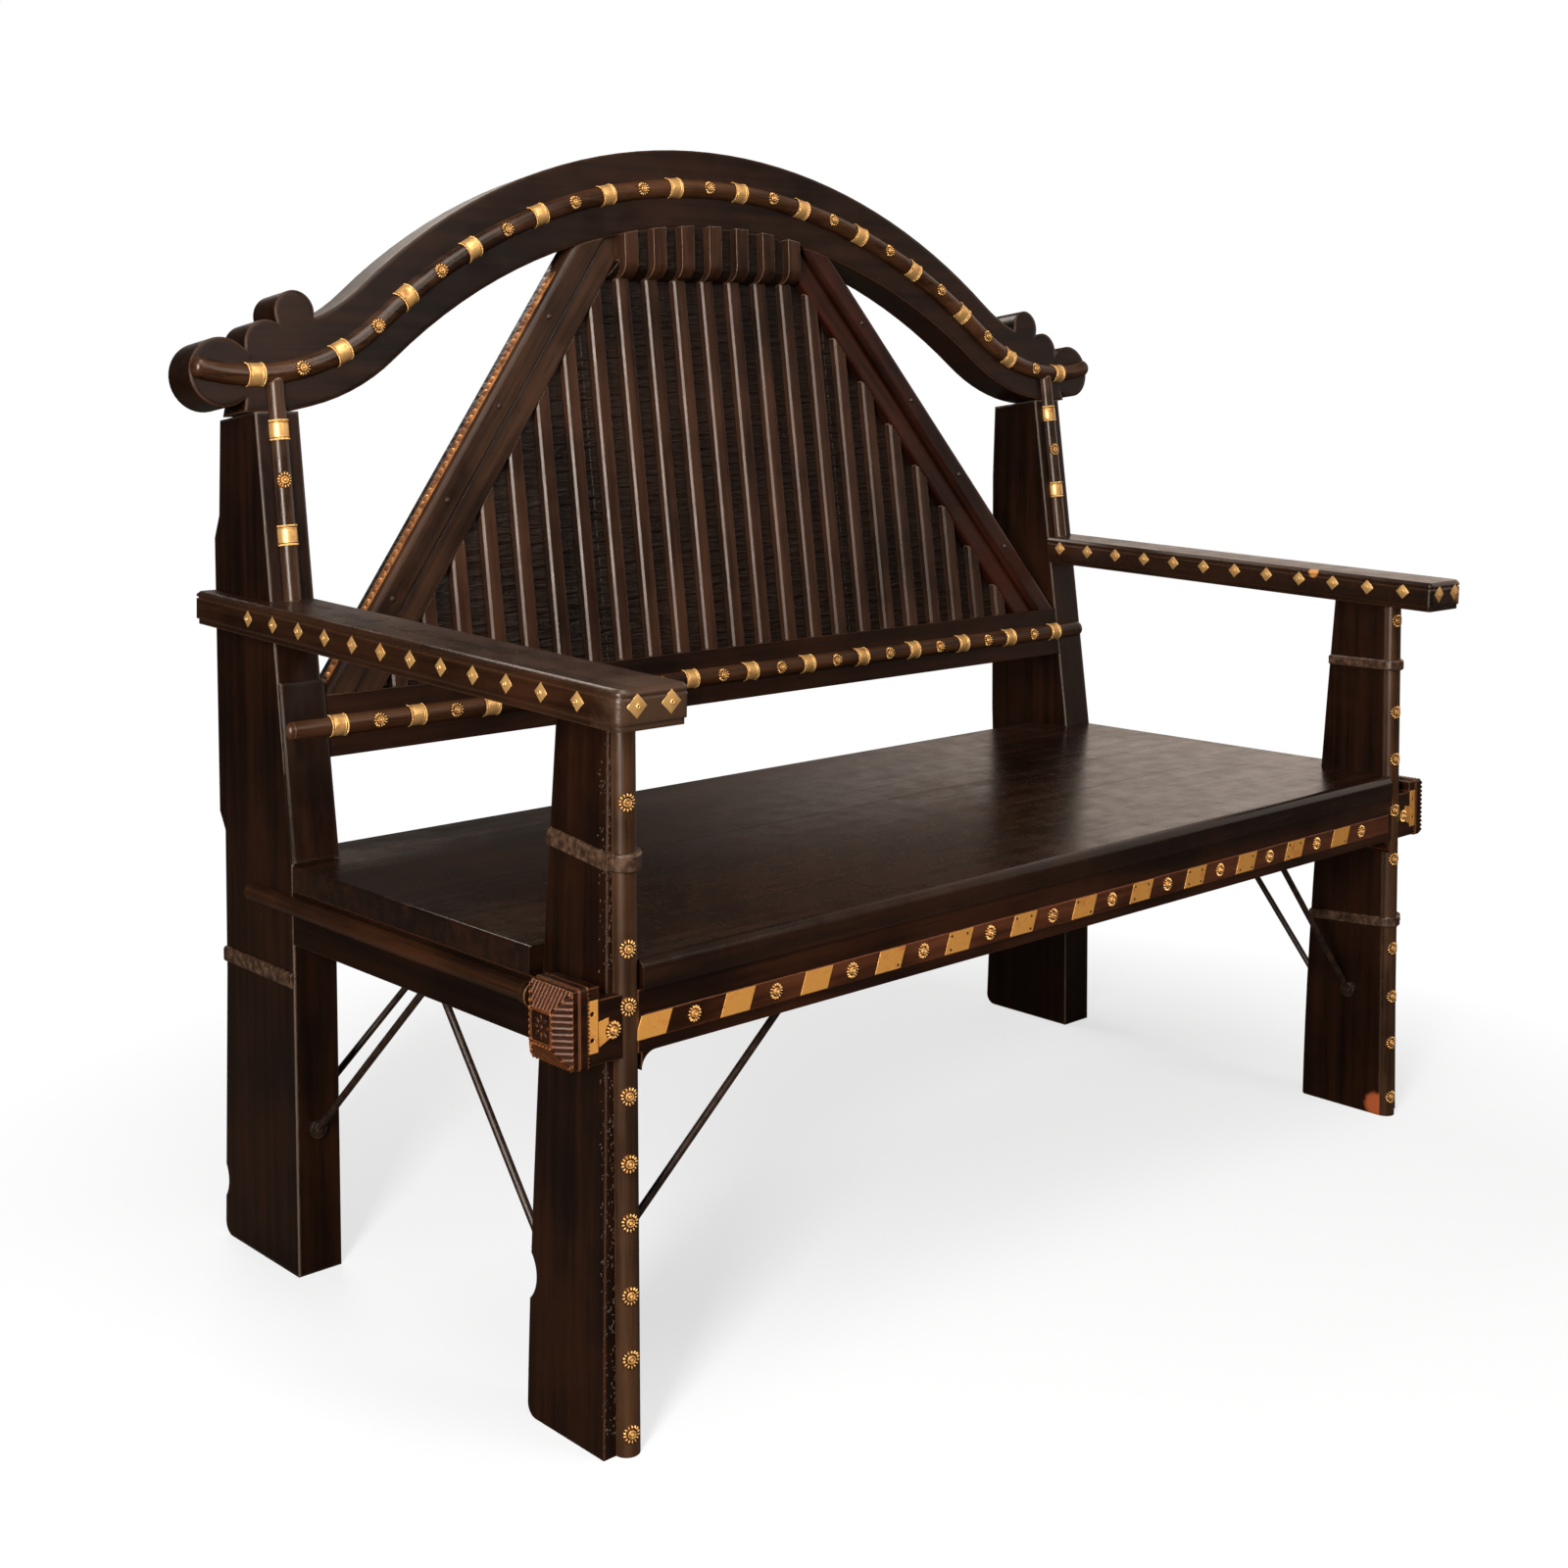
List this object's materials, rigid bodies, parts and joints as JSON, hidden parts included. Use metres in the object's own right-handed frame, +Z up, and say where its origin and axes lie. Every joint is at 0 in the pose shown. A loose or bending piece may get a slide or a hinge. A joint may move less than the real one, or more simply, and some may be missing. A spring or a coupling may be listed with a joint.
{
  "type": "wooden bench",
  "caption": "Carved hardwood bench with arms, a raked ribbed back panel under an arched crest, half-round mouldings and brass studs.",
  "frame": {"origin": "on the floor, at the middle of the bench's plan", "axes": "+X across the bench to the right of someone who looks at its front, +Y to its back, +Z up"},
  "size_m": [1.454, 0.7393, 1.2339],
  "materials": {
    "brass": "stamped sheet brass, aged",
    "dark_wood": "dark polished hardwood with worn edges",
    "panel_wood": "dark carved hardwood, semi-gloss",
    "iron": "forged rod, rusted and oiled",
    "brass_plate": "plain sheet brass, worn and scratched",
    "bead_wood": "dark half-round mouldings, waxed",
    "batten_wood": "dark hardwood with traces of old red paint",
    "collar_hide": "dark hardened strap",
    "seat_wood": "dark polished planks, glossy"
  },
  "bodies": {
    "root": {"arm_diamonds_left": "brass", "arm_diamonds_right": "brass", "arm_left": "dark_wood", "arm_right": "dark_wood", "back_leg_left": "dark_wood", "back_leg_right": "dark_wood", "back_rail": "dark_wood", "back_slats": "panel_wood", "back_stays_left": "iron", "back_stays_right": "iron", "batten_nails": "iron", "beam_end_bosses": "brass", "beam_end_plates": "brass_plate", "beam_plates": "brass_plate", "beam_rosettes": "brass", "cove_board": "panel_wood", "cove_ribs": "panel_wood", "crest_bands": "brass", "crest_bead": "bead_wood", "crest_rail": "dark_wood", "crest_rosettes": "brass", "edge_strip_left": "brass_plate", "edge_strip_right": "brass_plate", "front_beam": "dark_wood", "front_leg_left": "dark_wood", "front_leg_right": "dark_wood", "front_stays_left": "iron", "front_stays_right": "iron", "inner_batten_left": "batten_wood", "inner_batten_right": "batten_wood", "leg_bead_left": "bead_wood", "leg_bead_right": "bead_wood", "leg_collar_back": "collar_hide", "leg_collar_left": "collar_hide", "leg_collar_right_lower": "collar_hide", "leg_collar_right_upper": "collar_hide", "leg_rosettes": "brass", "lower_back_rail": "dark_wood", "lower_rod": "bead_wood", "outer_batten_left": "batten_wood", "outer_batten_right": "batten_wood", "panel_board_centre": "panel_wood", "panel_board_left": "panel_wood", "panel_board_right": "panel_wood", "post_bands": "brass", "post_rod_left": "bead_wood", "post_rod_right": "bead_wood", "post_rosettes": "brass", "rail_bands": "brass", "rail_rosettes": "brass", "seat_bearers": "dark_wood", "seat_board_front": "seat_wood", "seat_board_middle": "seat_wood", "seat_board_rear": "seat_wood", "side_apron_left": "dark_wood", "side_apron_right": "dark_wood", "side_bead_left": "bead_wood", "side_bead_right": "bead_wood", "stay_nails": "iron"}
  },
  "joints": []
}
